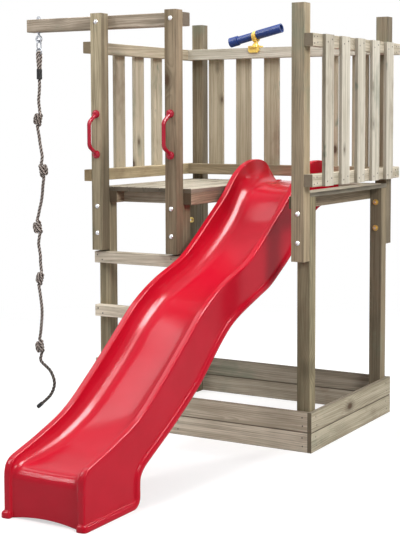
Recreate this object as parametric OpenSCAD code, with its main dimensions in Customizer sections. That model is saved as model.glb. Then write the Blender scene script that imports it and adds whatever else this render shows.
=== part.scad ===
// Wooden play tower with a ladder, a wavy slide, a knotted climbing rope, a telescope and a sandbox.
// All sizes are in millimetres. X runs along the front, Y from the front to the rear, Z up.

/* [Timber] */
// Side of the square posts and of the rope arm
post = 68; // [60:1:90]
// Thickness of rails, joists and steps
rail_t = 45; // [38:1:60]
// Height of rails, joists and steps
rail_h = 60; // [50:1:75]
// Thickness of the deck boards and sandbox boards
board_t = 22; // [18:1:28]
// Width of a deck board
deck_board_w = 90; // [80:1:98]
// Height of a sandbox board
sand_board_h = 98; // [80:1:120]
// Gap between the two sandbox boards of a side
sand_gap = 2; // [1:0.5:6]
// Width of a railing slat
slat_w = 95; // [70:1:110]
// Thickness of a railing slat
slat_t = 19; // [15:1:25]
// Chamfer on the long edges of the posts
post_ease = 3; // [1:0.5:6]
// Chamfer on the long edges of rails and boards
board_ease = 2; // [0.5:0.5:4]

/* [Tower] */
// Clear width of the ladder bay
ladder_bay = 385; // [350:5:450]
// Clear width of the slide bay
slide_bay = 641; // [630:1:720]
// Depth over the lower posts, front to rear
tower_d = 964; // [900:1:1100]
// Height of the tops of the upper posts
tower_h = 2165; // [1900:5:2400]
// Height of the post tops above the deck's surface
post_rise = 900; // [850:5:1000]
// How far the upper posts reach down past the deck's surface
post_lap = 330; // [300:5:380]
// Distance from the post tops down to the tops of the upper rails
rail_drop = 145; // [120:5:200]
// Gap between the deck and the lower rails
rail_gap = 30; // [20:1:60]

/* [Railings] */
// Number of slats on each side
side_slats = 5; // [3:1:6]
// Gap between the front post and the first side slat
side_gap_front = 37; // [20:1:80]
// Gap between the last side slat and the rear post
side_gap_rear = 68; // [20:1:100]
// Number of slats at the back
back_slats = 6; // [4:1:8]
// Gap between a rear post and the nearest back slat
back_gap = 44.5; // [20:0.5:100]

/* [Ladder and rope arm] */
// Number of steps
steps = 3; // [2:1:3]
// Gap between the upper posts and the highest step
step_gap = 9; // [2:1:60]
// Height of the lowest of three steps as a share of the highest
step_share = 0.387; // [0.35:0.001:0.42]
// How far the rope arm reaches past the left post
arm_reach = 466; // [400:1:600]
// Distance from the post tops down to the arm's top
arm_drop = 10; // [0:1:40]
// Distance from the arm's free end to the rope
rope_inset = 55; // [45:1:100]

/* [Slide] */
// Width of the slide over its lips
slide_w = 428; // [380:2:480]
// Length of the slide on plan
slide_run = 2447; // [2350:1:2600]
// Width of the outward lip along the foot of the skirts
slide_lip = 13; // [6:1:20]
// Thickness of the moulded shell
shell_t = 5; // [3:0.5:5]
// Radius of the rolled top edges
slide_roll = 17; // [12:1:22]
// Length of the boxed toe on the ground
toe_len = 387; // [340:1:420]
// Rise of the arch under the toe's front
toe_arch = 14; // [0:1:30]
// Overlap of the slide's rear lip on the deck
slide_seat = 43; // [25:1:60]
// Clearance between the slide and the deck
slide_clear = 4; // [2:1:20]

/* [Hand grips] */
// Height of the middle of the grips above the deck's surface
grip_rise = 275; // [200:5:350]
// Distance between the feet of a grip
grip_span = 209; // [180:1:240]
// Length of the straight bar between its bends
grip_bar = 124; // [90:1:150]
// Distance from the post to the middle of the bar
grip_reach = 65; // [50:1:80]
// Diameter of the grip's bar
grip_d = 21; // [16:1:26]
// Diameter of a grip's foot
grip_foot_d = 42; // [34:1:50]

/* [Telescope] */
// Distance of the telescope from the left side of the tower
scope_x = 437; // [300:1:800]
// Length of the telescope
scope_len = 336; // [280:1:400]
// Diameter of the main tube
scope_d = 46; // [36:1:52]
// Diameter of the flared eye end
scope_eye_d = 56; // [48:1:58]
// Upward tilt of the telescope
scope_tilt = 12.5; // [0:0.5:14]
// Height of the tilt axis over the rail
scope_rise = 70; // [66:1:90]
// Diameter of the round base
scope_base_d = 84; // [70:1:100]

/* [Rope] */
// Diameter of the climbing rope
rope_d = 16; // [10:1:18]
// Diameter of the eye bolt's shank and eye
eye_wire = 12; // [8:1:14]
// Diameter of the wire of the link and the ring
link_wire = 7; // [5:0.5:8]
// Length of the rope's eye above its sleeve
rope_eye = 92; // [80:1:120]
// Length of the black sleeve under the rope's eye
sleeve_len = 54; // [40:1:70]

/* [Fasteners] */
// Diameter of the coach bolts
bolt_d = 10; // [8:1:12]
// Diameter of a coach bolt's dome head
bolt_head_d = 24; // [18:1:28]
// Height of a coach bolt's dome head
bolt_head_h = 7; // [4:0.5:9]
// Diameter of the washers
washer_d = 32; // [24:1:34]

/* [Hidden] */
$fn = 48;
timber_grey = "#9a8c74";
slide_red = "#cc2233";
scope_blue = "#2f4390";
scope_yellow = "#e3b64a";
rope_brown = "#7c6658";
sleeve_black = "#2a2b2b";
steel = "#b9bec2";
zinc_yellow = "#c9a94a";

// Running clearances and washers
pin_clear = 0.05;
hole_clear = 0.25;
face_clear = 0.3;
washer_t = 3;
nut_h = 8;
nut_flats = 17;

// Posts: a, b and c at the front, d and e at the rear
post_names = ["a", "b", "c", "d", "e"];
front_post = [true, true, true, false, false];
x_b = post + ladder_bay;
x_c = x_b + post + slide_bay;
tower_w = x_c + post;
post_x = [0, x_b, x_c, x_c, 0];
y_rear = post + tower_d;
lower_y = [post, post, post, y_rear - post, y_rear - post];
upper_y = [0, 0, 0, y_rear, y_rear];
deck_z = tower_h - post_rise;
lower_top = deck_z - board_t;
upper_foot = deck_z - post_lap;
upper_len = tower_h - upper_foot;
bolt_z = [upper_foot + 90, lower_top - rail_h - washer_d / 2 - 2];

// Deck
joist_z = lower_top - rail_h;
joist_x = [post, x_b + post, x_c - rail_t];
deck_left_w = x_b + post + rail_t;
deck_count = floor((deck_left_w + board_ease) / (deck_board_w + board_ease));
deck_gap = (deck_left_w - deck_count * deck_board_w) / (deck_count - 1);
side_deck_count = 1;
side_deck_x = tower_w - side_deck_count * deck_board_w - (side_deck_count - 1) * deck_gap;
rear_board_y = y_rear - deck_board_w;

// Ladder and grips
step_top = upper_foot - step_gap;
step_rise = step_top * (1 - step_share) / 2;
grip_z = deck_z + grip_rise;

// Railings
rail_top_z = tower_h - rail_drop;
rail_low_z = deck_z + rail_gap;
rail_z = [rail_low_z, rail_top_z - rail_h];
level_names = ["lower", "upper"];
slat_h = rail_top_z - rail_low_z;
side_slat_y = post + side_gap_front;
side_slat_pitch = (y_rear - side_gap_rear - slat_w - side_slat_y) / (side_slats - 1);
back_slat_x = post + back_gap;
back_slat_pitch = (x_c - back_gap - slat_w - back_slat_x) / (back_slats - 1);
rail_y_back = y_rear - rail_t;

// Sandbox
sand_z = [0, sand_board_h + sand_gap];

// Rope arm
arm_z = tower_h - arm_drop - post;
arm_bolt_z = arm_z + post / 2;
arm_y = post;
rope_x = rope_inset - arm_reach;
rope_y = arm_y + post / 2;

// Slide: heights along its length are given for a rear lip at this height
slide_top_ref = 1270;
slide_rise = (deck_z + shell_t) / slide_top_ref;
slide_rear = rear_board_y + slide_seat;
slide_toe = slide_rear - slide_run;
slide_x = deck_left_w + slide_clear + slide_w / 2;
wall_x = slide_w / 2 - slide_lip;
skirt_end = slide_run - slide_seat - slide_clear - 2;
floor_dish = 3;
floor_fillet = 22;
wall_lean = 14;
lip_t = 5;

// Frame: origin on the ground under the middle of the whole outline
x_low = -arm_reach;
x_high = tower_w + rail_t + slat_t;
y_low = slide_toe;
y_high = y_rear + post + bolt_head_h;
frame_shift = [-(x_low + x_high) / 2, -(y_low + y_high) / 2, 0];

// Telescope
scope_y = rail_y_back + rail_t / 2;
scope_z = rail_top_z + scope_rise;
scope_disc_t = 10;
scope_boss_h = 26;
scope_apron = 28;
scope_apron_t = 9;
stem_d = 14;
stem_len = 18;
tilt_pin_d = 8;
boss_wall = 3;
fork_gap = 1.2;
fork_t = 8;
band_w = 20;
band_t = 3;
band_boss = 3;
eye_len = 52;

// Rope hardware, from the arm downwards
eye_r = 16;
neck_len = 14;
link_half_w = 17;
link_len = 51;
ring_r = 16;
rope_r = rope_d / 2;
wire_r = link_wire / 2;
eye_z = arm_z - neck_len - eye_r - eye_wire / 2;
link_pivot_z = eye_z - eye_r;
link_top_z = link_pivot_z + eye_wire / 2 + wire_r + face_clear;
ring_pivot_z = link_top_z - link_len;
ring_top_z = ring_pivot_z + link_wire + face_clear;
ring_z = ring_top_z - ring_r;
loop_top_z = ring_z - ring_r + wire_r + rope_r + face_clear;
loop_r = rope_r + wire_r + 3;
sleeve_top_z = loop_top_z - rope_eye;
sleeve_foot_z = sleeve_top_z - sleeve_len;
sleeve_d = 2 * rope_d - 2;
end_sleeve_len = 34;
end_sleeve_d = rope_d + 6;
rope_sides = 8;

// Route of the rope under its sleeve, chosen by hand: sideways offset and height above the ground,
// for a rope that starts at this height. A knot sits after each of the first five runs.
rope_start_ref = 1835;
rope_share = sleeve_foot_z / rope_start_ref;
rope_runs = [
    [[0, 1835], [0, 1800], [-3, 1760], [-7, 1718]],
    [[-8, 1530], [-2, 1490], [6, 1450], [12, 1415]],
    [[14, 1255], [10, 1215], [2, 1170], [-10, 1130], [-18, 1098]],
    [[-20, 940], [-15, 905], [-9, 870], [-9, 838]],
    [[-14, 660], [-8, 620], [-3, 575], [-4, 530], [-9, 485], [-14, 445]],
    [[-17, 295], [-4, 276], [20, 260], [46, 240], [66, 210], [76, 175], [70, 140], [50, 104], [20, 74]]
];
knot_centres = [[-9, 1618], [14, 1342], [-20, 1027], [-13, 746], [-16, 366]];
knot_turns = [15, 80, 150, 215, 300];
end_point = [-12, 48];

// Overhand knot, in rope diameters: two strands twisted round each other and one bight outside
knot_radius = 0.74;
knot_pitch = 2.4;
knot_lead = 1.1;
knot_bight = 1.2;
knot_over = 0;
knot_half = 0.75 * knot_pitch;

function knot_strand(from, to, start) = [
    for (k = [0:18])
        let (a = from + (to - from) * k / 18)
        [knot_radius * cos(a), knot_radius * sin(a), knot_half - (a - start) / 360 * knot_pitch]
];
function knot_ease(u) = [
    knot_radius * (1 + cos(180 * u)) / 2,
    -0.8 * knot_radius * sin(180 * u) * (1 - u),
    knot_half + knot_lead * u
];
knot_in = [for (k = [4:-1:1]) knot_ease(k / 4)];
knot_first = knot_strand(0, 540 + knot_over, 0);
knot_second = knot_strand(180 - knot_over, 720, 180);
knot_low = knot_first[len(knot_first) - 1];
knot_high = knot_second[0];
knot_loop = [
    for (k = [1:11])
        let (a = 15 * k)
        [
            knot_low.x - knot_bight * pow(sin(a), 0.7),
            knot_low.y * cos(a),
            knot_low.z + (knot_high.z - knot_low.z) * (1 - cos(a)) / 2
        ]
];
knot_out = [for (k = [1:4]) let (p = knot_ease(k / 4)) [p.x, -p.y, -p.z]];
knot_path = concat(knot_in, knot_first, knot_loop, knot_second, knot_out);

function turned(p, a) = [p.x * cos(a) - p.y * sin(a), p.x * sin(a) + p.y * cos(a), p.z];
function knot_at(i) = [
    for (p = knot_path)
        let (q = rope_d * turned(p, knot_turns[i]))
        [rope_x + knot_centres[i].x + q.x, rope_y + q.y, rope_share * knot_centres[i].y + q.z]
];
function run_at(i) = [for (p = rope_runs[i]) [rope_x + p.x, rope_y, rope_share * p.y]];
rope_path = concat(
    [for (i = [0:4]) each concat(run_at(i), knot_at(i))],
    run_at(5),
    [[rope_x + end_point.x, rope_y, end_point.y]]
);

// Least gap of the knotted rope to itself, measured on the points of one knot
knot_steps = len(knot_path);
knot_gap = min([
    for (i = [0:knot_steps - 1])
        for (j = [i + 7:1:knot_steps - 1])
            rope_d * (norm(knot_path[i] - knot_path[j]) - 1)
]);
echo(least_gap_of_the_rope_to_itself = knot_gap);

// Curve through points [distance, height], with a slope at each point from its neighbours
function slope_at(c, i) =
    let (a = c[max(i - 1, 0)], b = c[min(i + 1, len(c) - 1)])
    (b.y - a.y) / (b.x - a.x);
function span_of(c, u, i = 0) = i >= len(c) - 2 || u < c[i + 1].x ? i : span_of(c, u, i + 1);
function curve(c, u) =
    let (i = span_of(c, u), a = c[i], b = c[i + 1], w = b.x - a.x, t = min(max((u - a.x) / w, 0), 1))
    let (s = t * t * (3 - 2 * t))
    a.y + (b.y - a.y) * s
        + w * t * (1 - t) * ((1 - t) * slope_at(c, i) - t * slope_at(c, i + 1));

// Slide: top edge of the side walls, floor, and foot of the skirts, against the distance from the toe
edge_curve = [
    [0, 190], [20, 238], [70, 255], [225, 301], [412, 372], [600, 497], [785, 635], [950, 760],
    [1130, 851], [1370, 934], [1470, 990], [1642, 1107], [1800, 1218], [1930, 1328], [2030, 1378],
    [2145, 1398], [2260, 1378], [2325, 1322], [2380, 1279], [2447, 1275]
];
floor_curve = [
    [0, 150], [12, 190], [30, 203], [190, 228], [330, 259], [490, 325], [625, 408], [785, 520],
    [950, 650], [1125, 752], [1262, 800], [1435, 863], [1642, 972], [1800, 1079], [1930, 1203],
    [2000, 1242], [2080, 1264], [2160, 1270], [2447, 1270]
];
foot_curve = [
    [387, 138], [429, 167], [523, 217], [629, 273], [755, 346], [886, 430], [976, 503], [1069, 580],
    [1164, 647], [1262, 692], [1466, 760], [1572, 796], [1681, 854], [1788, 917], [1930, 1030],
    [2000, 1085], [2080, 1130], [2170, 1160], [2300, 1180], [2447, 1190]
];
slide_run_ref = 2447;
toe_corner = 47;

function along(u) = u * slide_run_ref / slide_run;
function edge_z(u) = slide_rise * curve(edge_curve, along(u));
function floor_z(u) = slide_rise * curve(floor_curve, along(u));
function foot_z(u) =
    u > skirt_end ? deck_z
    : u > toe_len ? slide_rise * curve(foot_curve, along(u))
    : u > toe_len - toe_corner
        ? toe_corner - sqrt(max(0, pow(toe_corner, 2) - pow(u - toe_len + toe_corner, 2)))
    : 0;
function dish_at(u) = floor_dish * min(1, max(0, (skirt_end - u) / 200));

// Half section of the slide from its middle outwards: upper side
function upper_half(u) =
    let (e = edge_z(u), f = floor_z(u), b = foot_z(u), k = min(1, (e - f) / 50))
    let (inner = wall_x - 2 * slide_roll, mid = wall_x - slide_roll, r = slide_roll)
    [
        [0, f - dish_at(u)],
        [0.5 * inner, f - 0.6 * dish_at(u)],
        [inner - wall_lean - 1.5 * floor_fillet, f],
        [inner - wall_lean - 0.6 * floor_fillet, f + 0.3 * floor_fillet * k],
        [inner - wall_lean, f + floor_fillet * k],
        [inner, e - r * k],
        [mid - r * cos(45), e - r * (1 - sin(45)) * k],
        [mid, e],
        [mid + r * cos(45), e - r * (1 - sin(45)) * k],
        [wall_x, e - r * k],
        [wall_x + 1, b + lip_t + 2],
        [slide_w / 2, b + lip_t],
        [slide_w / 2, b]
    ];

// The same for its underside, inside the shell
function lower_half(u) =
    let (e = edge_z(u), f = floor_z(u), b = foot_z(u), k = min(1, (e - f) / 50), t = shell_t)
    let (inner = wall_x - 2 * slide_roll, mid = wall_x - slide_roll, r = slide_roll - shell_t * k)
    let (drop = t * (1 - k))
    [
        [0, f - dish_at(u) - t],
        [0.5 * inner, f - 0.6 * dish_at(u) - t],
        [inner - wall_lean - 1.5 * floor_fillet + 1, f - t],
        [inner - wall_lean - 0.6 * floor_fillet + 0.6 * t, f + 0.3 * floor_fillet * k - 0.8 * t],
        [inner - wall_lean + t * k, f + floor_fillet * k - 0.4 * t - 0.6 * drop],
        [inner + t * k, e - slide_roll * k - drop],
        [mid - r * cos(45), e - t * k - r * (1 - sin(45)) * k - drop],
        [mid, e - t],
        [mid + r * cos(45), e - t * k - r * (1 - sin(45)) * k - drop],
        [wall_x - t * k, e - slide_roll * k - drop],
        [wall_x + 1 - t * k, b + 3],
        [wall_x + 1 - t * k, b + 1],
        [wall_x + 2 - t * k, b]
    ];

// Foot of the toe's closed front, arched between the skirts
half_points = 12;
function front_half() = [
    for (j = [0:half_points])
        let (v = j / half_points)
        [(wall_x + 2 - shell_t) * v, toe_arch * (1 - v * v)]
];
function mirrored(h) = concat([for (i = [len(h) - 1:-1:1]) [-h[i].x, h[i].y]], h);
function reversed(v) = [for (i = [len(v) - 1:-1:0]) v[i]];
function slide_section(u) =
    let (over = mirrored(upper_half(u)))
    let (under = mirrored(u <= shell_t ? front_half() : lower_half(u)))
    [for (p = concat(over, reversed(under))) [slide_x + p.x, slide_toe + u, p.y]];

slide_step = 46;
slide_stations = concat(
    [0, 2, shell_t, shell_t + 0.5, 10, 18, 30, 50, 80],
    [for (u = [120:slide_step:toe_len - toe_corner - 10]) u],
    [for (a = [0:18:90]) toe_len - toe_corner + toe_corner * sin(a)],
    [for (u = [toe_len + 0.5:slide_step:skirt_end - slide_step / 2]) u],
    [skirt_end, skirt_end + 0.5, slide_run]
);

// Placing and shared shapes
module placed() {
    translate(frame_shift) children();
}

module eased_rect(w, h, c) {
    polygon([[c, 0], [w - c, 0], [w, c], [w, h - c], [w - c, h], [c, h], [0, h - c], [0, c]]);
}

// Straight timber from a low corner, with its four long edges chamfered
module timber_x(at, size, c) {
    translate(at) rotate([90, 0, 90]) linear_extrude(size.x) eased_rect(size.y, size.z, c);
}

module timber_y(at, size, c) {
    translate(at + [0, 0, size.z]) rotate([-90, 0, 0]) linear_extrude(size.y) eased_rect(size.x, size.z, c);
}

module timber_z(at, size, c) {
    translate(at) linear_extrude(size.z) eased_rect(size.x, size.y, c);
}

// Rod between two points
module rod(from, to, d) {
    v = to - from;
    translate(from)
        rotate([0, acos(v.z / norm(v)), atan2(v.y, v.x)])
            cylinder(h = norm(v), d = d);
}

// Loft through closed loops of equal length, its two ends closed by strips
module loft(loops) {
    n = len(loops[0]);
    m = len(loops);
    half = n / 2;
    points = [for (loop = loops) each loop];
    sides = [
        for (i = [0:m - 2])
            for (j = [0:n - 1])
                let (a = i * n + j, b = i * n + (j + 1) % n)
                each [[a, b, b + n], [a, b + n, a + n]]
    ];
    ends = [
        for (j = [0:half - 2])
            let (a = j, b = j + 1, c = n - 2 - j, d = n - 1 - j, z = (m - 1) * n)
            each [[a, c, b], [a, d, c], [z + a, z + b, z + c], [z + a, z + c, z + d]]
    ];
    polyhedron(points, concat(sides, ends));
}

// Round tube swept along points, with its rings carried without twist
function unit(v) = v / norm(v);
function tangent(p, i) = unit(p[min(i + 1, len(p) - 1)] - p[max(i - 1, 0)]);
function carried(n, t) = unit(n - (n * t) * t);
function ring_at(p, n, t, r, sides) = [
    for (k = [0:sides - 1])
        let (a = 360 * k / sides)
        p + r * (cos(a) * n + sin(a) * cross(t, n))
];

module tube(path, r, sides) {
    last = len(path) - 1;
    normals = [
        for (i = 0, n = carried([0, 1, 0], tangent(path, 0)); i <= last;
             n = carried(n, tangent(path, min(i + 1, last))), i = i + 1) n
    ];
    points = [for (i = [0:last]) each ring_at(path[i], normals[i], tangent(path, i), r, sides)];
    walls = [
        for (i = [0:last - 1])
            for (k = [0:sides - 1])
                let (a = i * sides + k, b = i * sides + (k + 1) % sides)
                each [[a, b + sides, b], [a, a + sides, b + sides]]
    ];
    ends = [
        for (k = [1:sides - 2])
            let (z = last * sides)
            each [[0, k, k + 1], [z, z + k + 1, z + k]]
    ];
    polyhedron(points, concat(walls, ends));
}

// Bolt hole along Y through a post
module bolt_hole(x, z) {
    translate([x, -post, z]) rotate([-90, 0, 0])
        cylinder(h = y_rear + 3 * post, d = bolt_d + 2 * hole_clear);
}

// Posts
module lower_post(i) {
    color(timber_grey) placed() difference() {
        timber_z([post_x[i], lower_y[i], 0], [post, post, lower_top], post_ease);
        for (z = bolt_z) bolt_hole(post_x[i] + post / 2, z);
    }
}

module upper_post(i) {
    carries_arm = i < 2;
    color(timber_grey) placed() difference() {
        timber_z([post_x[i], upper_y[i], upper_foot], [post, post, upper_len], post_ease);
        for (z = bolt_z) bolt_hole(post_x[i] + post / 2, z);
        if (carries_arm) bolt_hole(post_x[i] + post / 2, arm_bolt_z);
    }
}

// Deck
module joist(i) {
    color(timber_grey) placed()
        timber_y([joist_x[i], post, joist_z], [rail_t, tower_d, rail_h], board_ease);
}

module bearer(x, y, length) {
    color(timber_grey) placed() timber_x([x, y, joist_z], [length, rail_t, rail_h], board_ease);
}

module deck_board(i) {
    x = i < deck_count
        ? i * (deck_board_w + deck_gap)
        : side_deck_x + (i - deck_count) * (deck_board_w + deck_gap);
    color(timber_grey) placed()
        timber_y([x, post, lower_top], [deck_board_w, tower_d, board_t], board_ease);
}

module rear_deck_board() {
    x = deck_left_w + deck_gap;
    color(timber_grey) placed()
        timber_x([x, rear_board_y, lower_top],
            [side_deck_x - deck_gap - x, deck_board_w, board_t], board_ease);
}

// Ladder
module step(i) {
    z = step_top - rail_h - i * step_rise;
    color(timber_grey) placed()
        timber_x([0, post - rail_t, z], [x_b + post, rail_t, rail_h], board_ease);
}

// Railings
module side_rail(x, level) {
    color(timber_grey) placed()
        timber_y([x, 0, rail_z[level]], [rail_t, y_rear + post, rail_h], board_ease);
}

module back_rail(level) {
    color(timber_grey) placed()
        timber_x([0, rail_y_back, rail_z[level]], [tower_w, rail_t, rail_h], board_ease);
}

module side_slat_row(x) {
    color(timber_grey) placed()
        for (i = [0:side_slats - 1])
            timber_z([x, side_slat_y + i * side_slat_pitch, rail_low_z],
                [slat_t, slat_w, slat_h], board_ease);
}

module back_slat_row() {
    color(timber_grey) placed()
        for (i = [0:back_slats - 1])
            timber_z([back_slat_x + i * back_slat_pitch, y_rear, rail_low_z],
                [slat_w, slat_t, slat_h], board_ease);
}

// Sandbox: the side boards cover the ends of the front and rear boards
module sand_across(y, level) {
    color(timber_grey) placed()
        timber_x([0, y, sand_z[level]], [tower_w, board_t, sand_board_h], board_ease);
}

module sand_side(x, level) {
    color(timber_grey) placed()
        timber_y([x, post - board_t, sand_z[level]],
            [board_t, tower_d + 2 * board_t, sand_board_h], board_ease);
}

// Rope arm, bored for its two bolts and the eye bolt
module rope_arm() {
    color(timber_grey) placed() difference() {
        timber_x([-arm_reach, arm_y, arm_z], [arm_reach + x_b + post, post, post], post_ease);
        for (i = [0:1]) bolt_hole(post_x[i] + post / 2, arm_bolt_z);
        translate([rope_x, rope_y, arm_z - 1]) cylinder(h = post + 2, d = eye_wire + 2 * hole_clear);
    }
}

// Slide
module slide() {
    color(slide_red) placed() loft([for (u = slide_stations) slide_section(u)]);
}

// Hand grip: two round feet, two slanted legs and a bar. The bends are a little thicker than the
// straight rods, which run a short way into them.
module grip(i) {
    foot_t = 8;
    bend_r = 30;
    swell = 0.6;
    run_in = 2;
    half_bar = grip_bar / 2;
    foot_z = grip_span / 2;
    leg = [0, -grip_reach, half_bar - foot_z];
    leg_dir = leg / norm(leg);
    bend = acos(-leg_dir.z);
    trim = bend_r * tan(bend / 2);
    corner = [0, -grip_reach, half_bar];
    bar_end = half_bar - trim + run_in;
    color(slide_red) placed() translate([post_x[i] + post / 2, 0, grip_z]) {
        rod([0, -grip_reach, -bar_end], [0, -grip_reach, bar_end], grip_d - swell);
        for (side = [0, 1]) mirror([0, 0, side]) {
            translate([0, 0, foot_z]) rotate([90, 0, 0]) {
                cylinder(h = foot_t, d = grip_foot_d);
                translate([0, 0, foot_t]) cylinder(h = foot_t, d1 = grip_foot_d - 4, d2 = grip_d);
            }
            rod([0, -foot_t, foot_z] + [0, 0, foot_t * leg.z / grip_reach],
                corner - (trim - run_in) * leg_dir, grip_d - swell);
            translate([0, -grip_reach + bend_r, half_bar - trim])
                rotate([0, -90, 0]) rotate([0, 0, -90])
                    rotate_extrude(angle = bend) translate([bend_r, 0]) circle(d = grip_d);
        }
    }
}

// Telescope
module scope_base() {
    edge_r = 8;
    color(scope_yellow) placed() translate([scope_x, scope_y, rail_top_z]) difference() {
        union() {
            cylinder(h = scope_disc_t, d = scope_base_d);
            translate([0, 0, scope_disc_t])
                cylinder(h = scope_boss_h - scope_disc_t, d1 = 0.55 * scope_base_d, d2 = stem_d + 14);
            // Apron on the front of the rail
            translate([0, -rail_t / 2, 0]) rotate([90, 0, 0]) linear_extrude(scope_apron_t) difference() {
                translate([-scope_base_d / 2 + edge_r, -scope_apron])
                    square([scope_base_d - 2 * edge_r, scope_apron + scope_disc_t]);
                for (side = [-1, 1])
                    translate([side * (scope_base_d / 2 - edge_r), -scope_apron]) circle(edge_r);
            }
        }
        translate([0, 0, scope_boss_h - stem_len]) cylinder(h = stem_len + 1, d = stem_d + 2 * pin_clear);
    }
}

fork_in = scope_d / 2 + band_t + band_boss + fork_gap;
fork_out = fork_in + fork_t;

module scope_yoke() {
    collar_z = scope_boss_h + face_clear;
    fork_foot = scope_rise - fork_out;
    color(scope_yellow) placed() translate([scope_x, scope_y, rail_top_z]) {
        translate([0, 0, scope_boss_h - stem_len + face_clear]) cylinder(h = stem_len, d = stem_d);
        translate([0, 0, collar_z])
            cylinder(h = fork_foot + fork_t / 2 - collar_z, d1 = stem_d + 12, d2 = stem_d + 2);
        translate([0, 0, scope_rise]) {
            difference() {
                rotate([0, 90, 0]) cylinder(h = band_w, r = fork_out, center = true);
                rotate([0, 90, 0]) cylinder(h = 2 * band_w, r = fork_in, center = true);
                translate([0, 0, fork_out + band_w / 2])
                    cube([2 * band_w, 3 * fork_out, 2 * fork_out], center = true);
            }
            for (side = [-1, 1])
                rod([0, side * (scope_d / 2 + band_t), 0],
                    [0, side * (fork_in + fork_t / 2), 0], tilt_pin_d);
        }
    }
}

module scope_tilted() {
    placed() translate([scope_x, scope_y, scope_z]) rotate([0, -scope_tilt, 0]) children();
}

module scope_band() {
    color(scope_yellow) scope_tilted() difference() {
        union() {
            rotate([0, 90, 0]) cylinder(h = band_w, d = scope_d + 2 * band_t, center = true);
            rod([0, -fork_in + fork_gap, 0], [0, fork_in - fork_gap, 0], tilt_pin_d + 2 * boss_wall);
        }
        rotate([0, 90, 0]) cylinder(h = 3 * band_w, d = scope_d, center = true);
        rod([0, -fork_out, 0], [0, fork_out, 0], tilt_pin_d + 2 * pin_clear);
    }
}

module scope_tube() {
    lens_depth = 12;
    rim = 4;
    color(scope_blue) scope_tilted() rotate([0, 90, 0]) difference() {
        union() {
            translate([0, 0, -scope_len / 2]) cylinder(h = scope_len, d = scope_d);
            translate([0, 0, -scope_len / 2]) cylinder(h = eye_len, d = scope_eye_d);
            translate([0, 0, band_w / 2])
                cylinder(h = scope_len / 2 - band_w / 2, d = scope_d + 2 * band_t);
        }
        translate([0, 0, -scope_len / 2 - 1]) cylinder(h = lens_depth + 1, d = scope_d - 2 * rim);
        translate([0, 0, scope_len / 2 - lens_depth]) cylinder(h = lens_depth + 1, d = scope_d - 2 * rim);
    }
}

// Rope hardware
module rope_hanger() {
    nut_z = arm_z + post + washer_t;
    color(steel) placed() translate([rope_x, rope_y, 0]) {
        translate([0, 0, eye_z + eye_r]) cylinder(h = nut_z + nut_h + 8 - eye_z - eye_r, d = eye_wire);
        translate([0, 0, arm_z - washer_t]) cylinder(h = washer_t, d = 2.6 * eye_wire);
        translate([0, 0, arm_z + post]) cylinder(h = washer_t, d = 2.6 * eye_wire);
        translate([0, 0, nut_z]) cylinder(h = nut_h + 2, d = 1.9 * eye_wire, $fn = 6);
        translate([0, 0, eye_z]) rotate([90, 0, 0])
            rotate_extrude() translate([eye_r, 0]) circle(d = eye_wire);
    }
}

module rope_link() {
    run = link_len - 2 * link_half_w;
    color(steel) placed() translate([rope_x, rope_y, link_top_z - link_len / 2]) rotate([0, 0, 90])
        for (end = [0, 1]) mirror([0, 0, end]) {
            translate([0, 0, run / 2]) rotate([90, 0, 0])
                rotate_extrude(angle = 180) translate([link_half_w, 0]) circle(d = link_wire);
            for (side = [-1, 1])
                translate([side * link_half_w, 0, 0]) cylinder(h = run / 2, d = link_wire);
        }
}

module rope_ring() {
    color(steel) placed() translate([rope_x, rope_y, ring_z]) rotate([90, 0, 0])
        rotate_extrude() translate([ring_r, 0]) circle(d = link_wire);
}

// Eye of the rope round the ring, its two legs ending in the sleeve
loop_bend_z = loop_top_z - loop_r;
loop_legs = rope_r - 0.6;
loop_straight = 4;
function loop_point(side, k) =
    let (u = k / 5, s = u * u * (3 - 2 * u))
    [
        rope_x,
        rope_y + side * (loop_r + (loop_legs - loop_r) * s),
        loop_bend_z + (sleeve_top_z + loop_straight - loop_bend_z) * u
    ];
function loop_end(side) = [rope_x, rope_y + side * loop_legs, sleeve_top_z];
loop_path = concat(
    [loop_end(-1)],
    [for (k = [5:-1:1]) loop_point(-1, k)],
    [for (a = [180:-15:0]) [rope_x, rope_y + loop_r * cos(a), loop_bend_z + loop_r * sin(a)]],
    [for (k = [1:5]) loop_point(1, k)],
    [loop_end(1)]
);

module rope() {
    color(rope_brown) placed() {
        tube(rope_path, rope_r, rope_sides);
        tube(loop_path, rope_r, rope_sides);
    }
}

module rope_sleeves() {
    n = len(rope_path);
    tip = rope_path[n - 1];
    dir = unit(tip - rope_path[n - 2]);
    color(sleeve_black) placed() {
        translate([rope_x, rope_y, sleeve_foot_z]) cylinder(h = sleeve_len, d = sleeve_d);
        rod(tip, tip + end_sleeve_len * dir, end_sleeve_d);
    }
}

// Fasteners: where each coach bolt's head bears, the way it points, and the timber it clamps
bolt_places = concat(
    [
        for (i = [0:4])
            for (z = bolt_z)
                front_post[i]
                    ? [[post_x[i] + post / 2, 0, z], 1]
                    : [[post_x[i] + post / 2, y_rear + post, z], -1]
    ],
    [for (i = [0:1]) [[post_x[i] + post / 2, 0, arm_bolt_z], 1]]
);
clamped = 2 * post;

module along_bolt(place) {
    translate(place[0]) rotate([place[1] * -90, 0, 0]) children();
}

module coach_bolts() {
    dome_r = (pow(bolt_head_d / 2, 2) + pow(bolt_head_h, 2)) / (2 * bolt_head_h);
    color(steel) placed() for (place = bolt_places) along_bolt(place) {
        intersection() {
            translate([0, 0, dome_r - bolt_head_h]) sphere(dome_r);
            translate([0, 0, -bolt_head_h]) cylinder(h = bolt_head_h, d = bolt_head_d + 2);
        }
        cylinder(h = clamped + washer_t + nut_h + 4, d = bolt_d);
    }
}

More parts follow.
